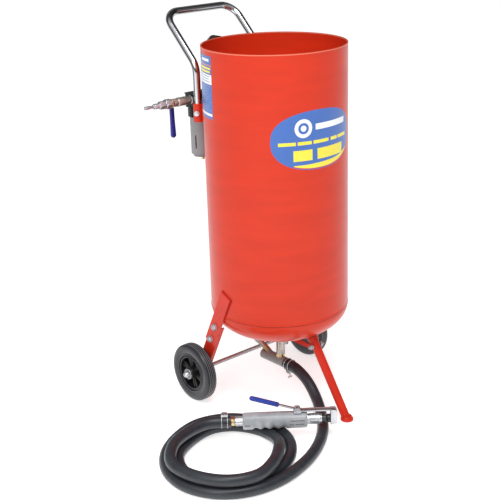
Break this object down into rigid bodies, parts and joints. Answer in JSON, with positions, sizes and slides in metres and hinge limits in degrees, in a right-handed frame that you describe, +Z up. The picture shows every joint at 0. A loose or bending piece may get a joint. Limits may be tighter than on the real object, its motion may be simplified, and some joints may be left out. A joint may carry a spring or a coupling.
{
  "type": "portable pressure abrasive blaster",
  "caption": "Open-topped pressure tank on wheels with a push handle, inlet filter and ball valve, bottom metering valve and mixing tee, and a blast hose ending in a deadman gun.",
  "frame": {"origin": "floor level, centred under the machine's bounding box with the blast hose and gun left out; the tank's axis stands at y = -0.020 m", "axes": "+Z up, +Y towards the handle and wheels, -Y towards the front leg, +X to the right seen from the front leg, so the inlet valve is on -X"},
  "size_m": [0.8473, 0.7515, 1.1165],
  "materials": {
    "tank_paint": "glossy red enamel, slightly orange",
    "leg_paint": "glossy red enamel",
    "handle_chrome": "bright chrome plate",
    "zinc": "zinc-plated steel, satin",
    "nickel": "nickel plate, satin",
    "brass": "machined brass",
    "black_enamel": "black enamel, satin",
    "grey_enamel": "grey enamel, satin",
    "clear_bowl": "clear plastic",
    "filter_white": "sintered white element",
    "lever_blue": "dipped dark blue grip",
    "gun_blue": "dipped blue grip",
    "hub_black": "moulded black plastic",
    "tyre": "solid black rubber",
    "air_hose": "black rubber hose",
    "blast_hose": "black fabric-marked rubber hose",
    "gun_grey": "grey moulded nylon",
    "seal": "black rubber",
    "ceramic": "off-white ceramic",
    "gauge_face": "white printed dial",
    "gauge_glass": "clear flat lens",
    "tee_grey": "painted grey casting"
  },
  "bodies": {
    "machine": {"tank_shell": "tank_paint", "hopper_head": "tank_paint", "bottom_head": "tank_paint", "filler_neck": "tank_paint", "tank_bosses": "tank_paint", "handle_tube": "handle_chrome", "handle_sockets": "tank_paint", "handle_bolts": "zinc", "filter_bracket": "black_enamel", "filter_head": "black_enamel", "filter_bowl_guard": "grey_enamel", "filter_bowl": "clear_bowl", "filter_element": "filter_white", "inlet_valve_body": "nickel", "quick_plug": "zinc", "manifold": "brass", "manifold_nipples": "zinc", "relief_valve": "brass", "gauge_case": "black_enamel", "gauge_dial": "gauge_face", "gauge_lens": "gauge_glass", "air_hose": "air_hose", "choke_valve": "nickel", "brass_fittings": "brass", "metering_valve": "nickel", "mixing_tee": "tee_grey", "hose_barb": "zinc", "hose_clamp": "zinc", "blast_hose": "blast_hose", "gun_clamp": "zinc", "gun_coupling": "zinc", "gun_body": "gun_grey", "nozzle_nut": "zinc", "nozzle": "ceramic", "gun_pivot_pin": "zinc", "rear_leg_plates": "leg_paint", "rear_leg_channels": "leg_paint", "leg_bolts": "zinc", "axle": "zinc", "axle_caps": "zinc", "front_leg": "leg_paint", "front_leg_socket": "leg_paint", "front_brace": "leg_paint"},
    "left_wheel": {"left_tyre": "tyre", "left_hub": "hub_black"},
    "right_wheel": {"right_tyre": "tyre", "right_hub": "hub_black"},
    "filler_lid": {"filler_cap": "zinc", "cap_gasket": "seal"},
    "inlet_handle": {"inlet_lever": "zinc", "inlet_lever_grip": "lever_blue", "inlet_valve_ball": "nickel"},
    "choke_handle": {"choke_lever": "lever_blue"},
    "metering_handle": {"metering_lever": "zinc"},
    "gun_trigger": {"gun_lever": "zinc", "gun_lever_grip": "gun_blue", "gun_lever_pad": "seal"},
    "relief_pull": {"relief_ring": "zinc"},
    "needle": {"gauge_needle": "black_enamel"},
    "drain_valve": {"filter_drain": "brass"}
  },
  "joints": [
    {"name": "left_wheel_spin", "type": "hinge", "parent": "machine", "child": "left_wheel", "pos_m": [-0.2265, 0.1095, 0.0865], "axis": [1, 0, 0], "continuous": true},
    {"name": "right_wheel_spin", "type": "hinge", "parent": "machine", "child": "right_wheel", "pos_m": [0.2265, 0.1095, 0.0865], "axis": [1, 0, 0], "continuous": true},
    {"name": "filler_cap_lift", "type": "slide", "parent": "machine", "child": "filler_lid", "axis": [0, 0, 1], "range_m": [0, 0.2]},
    {"name": "inlet_valve_turn", "type": "hinge", "parent": "machine", "child": "inlet_handle", "pos_m": [-0.1345, 0.23, 0.864], "axis": [0, 1, 0], "range_deg": [0, 90]},
    {"name": "choke_valve_turn", "type": "hinge", "parent": "machine", "child": "choke_handle", "pos_m": [0, 0.08851, 0.13405], "axis": [1, 0, 0], "range_deg": [0, 90]},
    {"name": "metering_valve_turn", "type": "hinge", "parent": "machine", "child": "metering_handle", "pos_m": [0, -0.02, 0.145], "axis": [-1, 0, 0], "range_deg": [0, 90]},
    {"name": "gun_trigger_squeeze", "type": "hinge", "parent": "machine", "child": "gun_trigger", "pos_m": [-0.16859, -0.27082, 0.086], "axis": [-0.6388, -0.7694, 0], "range_deg": [0, 12], "stiffness_Nm_per_rad": 6, "springref_deg": -6.88},
    {"name": "relief_ring_pull", "type": "slide", "parent": "machine", "child": "relief_pull", "axis": [1, 0, 0], "range_m": [0, 0.004], "stiffness_N_per_m": 1200, "springref_m": -0.002},
    {"name": "gauge_needle_turn", "type": "hinge", "parent": "machine", "child": "needle", "pos_m": [0, 0.23, 1.0095], "axis": [0, -1, 0], "range_deg": [0, 270], "stiffness_Nm_per_rad": 0.0002, "springref_deg": -17.19},
    {"name": "drain_valve_push", "type": "slide", "parent": "machine", "child": "drain_valve", "axis": [0, 0, 1], "range_m": [0, 0.003], "stiffness_N_per_m": 900, "springref_m": -0.002}
  ]
}
